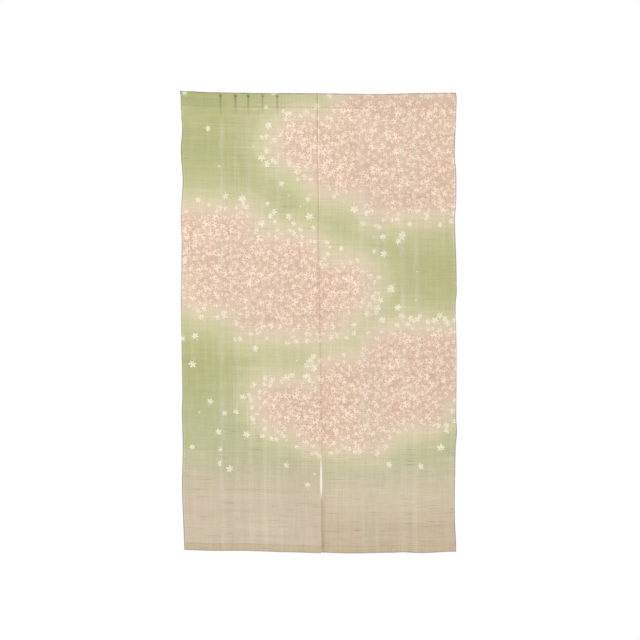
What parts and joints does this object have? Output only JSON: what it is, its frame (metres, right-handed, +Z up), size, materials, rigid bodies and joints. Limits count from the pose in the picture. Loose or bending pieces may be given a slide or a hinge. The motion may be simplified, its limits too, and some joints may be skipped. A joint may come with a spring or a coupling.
{
  "type": "noren curtain",
  "caption": "Split doorway curtain of dyed hemp: panels sewn together at the top, slit below, with a flat rod pocket folded along the top.",
  "frame": {"origin": "middle of the top fold, on its crest", "axes": "+Z up along the hanging cloth, +X to the viewer's right, front towards -Y"},
  "size_m": [0.9039, 0.0197, 1.5096],
  "materials": {
    "hemp_cloth": "matt plain-weave hemp, dyed green and pink, fading to beige at the foot",
    "sewing_thread": "matt twisted thread"
  },
  "bodies": {
    "root": {"left_panel": "hemp_cloth", "right_panel": "hemp_cloth", "left_rod_pocket": "hemp_cloth", "right_rod_pocket": "hemp_cloth"}
  },
  "joints": []
}
